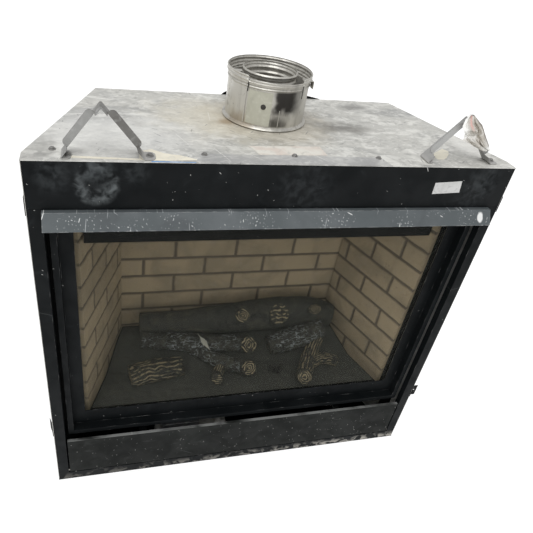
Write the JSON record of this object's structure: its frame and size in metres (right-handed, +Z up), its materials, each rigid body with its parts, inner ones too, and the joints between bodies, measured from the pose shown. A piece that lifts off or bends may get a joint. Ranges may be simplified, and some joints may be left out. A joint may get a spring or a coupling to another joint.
{
  "type": "gas fireplace",
  "caption": "Built-in direct-vent gas fireplace: tapered casing, black facing, grey hood, removable glass door, brick-lined firebox with logs, coaxial vent collar.",
  "frame": {"origin": "on the floor, under the middle of the base pan", "axes": "+X to the right along the facing, +Y towards the back, +Z up"},
  "size_m": [1.0963, 0.4305, 1.1193],
  "materials": {
    "galvanised": "dull, mottled galvanised sheet",
    "black_paint": "satin black paint, scuffed",
    "black_steel": "matt black high-temperature paint",
    "hood_grey": "satin dark grey with paint specks",
    "strap_steel": "dull zinc-plated strap",
    "stainless": "drawn, slightly sooted stainless",
    "brick": "tan brick-pattern ceramic fibre",
    "log": "charred ceramic fibre",
    "pane": "smoked ceramic glass",
    "rope": "woven glass-fibre rope",
    "brass": "machined brass",
    "cast_valve": "cast, satin",
    "knob_black": "black moulding",
    "button_red": "red moulding",
    "handle_yellow": "yellow dipped coating"
  },
  "bodies": {
    "casing": {"casing_top": "galvanised", "top_lap_strip": "galvanised", "casing_back": "galvanised", "casing_left_side": "galvanised", "casing_right_side": "galvanised", "base_pan": "galvanised", "front_header": "black_paint", "front_post_left": "black_paint", "front_post_right": "black_paint", "base_strip": "black_paint", "hood": "hood_grey", "upper_infill": "black_steel", "nailing_tab_upper_left": "black_steel", "nailing_tab_upper_right": "black_steel", "nailing_tab_lower_left": "black_steel", "nailing_tab_lower_right": "black_steel", "rear_vent_cover": "black_steel", "standoff_left": "strap_steel", "standoff_right": "strap_steel", "standoff_screw_left_1": "stainless", "standoff_screw_left_2": "stainless", "standoff_screw_right_1": "stainless", "standoff_screw_right_2": "stainless", "vent_outer_collar": "stainless", "vent_inner_flue": "stainless", "vent_spacer": "stainless", "firebox_floor": "black_steel", "firebox_back": "black_steel", "firebox_left_side": "black_steel", "firebox_right_side": "black_steel", "firebox_top": "black_steel", "firebox_front_ring": "black_steel", "brick_back": "brick", "brick_left": "brick", "brick_right": "brick", "lintel_baffle": "black_steel", "burner_platform": "black_steel", "rear_log": "log", "charred_log": "log", "slanting_log": "log", "split_log": "log", "right_log": "log", "forked_log": "log", "pilot_assembly": "stainless", "panel_hinge_rod": "stainless", "control_bracket": "galvanised", "gas_valve": "cast_valve", "shutoff_valve": "brass", "gas_inlet_pipe": "brass", "burner_feed_pipe": "stainless"},
    "access_panel": {"access_panel": "black_paint"},
    "glass_door": {"glass_frame": "black_paint", "glass_pane": "pane", "glass_gasket": "rope"},
    "latch_left": {"glass_latch_left": "black_steel"},
    "latch_right": {"glass_latch_right": "black_steel"},
    "gas_knob": {"gas_knob": "knob_black"},
    "flame_knob": {"flame_knob": "knob_black"},
    "igniter_button": {"igniter_button": "button_red"},
    "shutoff_handle": {"shutoff_handle": "handle_yellow"}
  },
  "joints": [
    {"name": "panel_swing", "type": "hinge", "parent": "casing", "child": "access_panel", "pos_m": [0, -0.1964, 0.037], "axis": [1, 0, 0], "range_deg": [0, 90]},
    {"name": "glass_slide", "type": "slide", "parent": "casing", "child": "glass_door", "axis": [0, -1, 0], "range_m": [0, 0.04]},
    {"name": "latch_left_turn", "type": "hinge", "parent": "casing", "child": "latch_left", "pos_m": [-0.2982, -0.1585, 0.16], "axis": [1, 0, 0], "range_deg": [0, 138]},
    {"name": "latch_right_turn", "type": "hinge", "parent": "casing", "child": "latch_right", "pos_m": [0.2982, -0.1585, 0.16], "axis": [1, 0, 0], "range_deg": [0, 138]},
    {"name": "gas_knob_turn", "type": "hinge", "parent": "casing", "child": "gas_knob", "pos_m": [-0.205, -0.138, 0.0818], "axis": [0, -1, 0], "range_deg": [0, 180]},
    {"name": "flame_knob_turn", "type": "hinge", "parent": "casing", "child": "flame_knob", "pos_m": [-0.152, -0.138, 0.0818], "axis": [0, -1, 0], "range_deg": [0, 120]},
    {"name": "igniter_push", "type": "slide", "parent": "casing", "child": "igniter_button", "axis": [0, 1, 0], "range_m": [0, 0.006], "stiffness_N_per_m": 400},
    {"name": "shutoff_turn", "type": "hinge", "parent": "casing", "child": "shutoff_handle", "pos_m": [0.087, -0.09, 0.0988], "axis": [0, 0, 1], "range_deg": [-90, 0]}
  ],
  "couplings": [
    {"joint": "latch_left_turn", "follows": "glass_slide", "rad_per_m": 60},
    {"joint": "latch_right_turn", "follows": "glass_slide", "rad_per_m": 60}
  ]
}
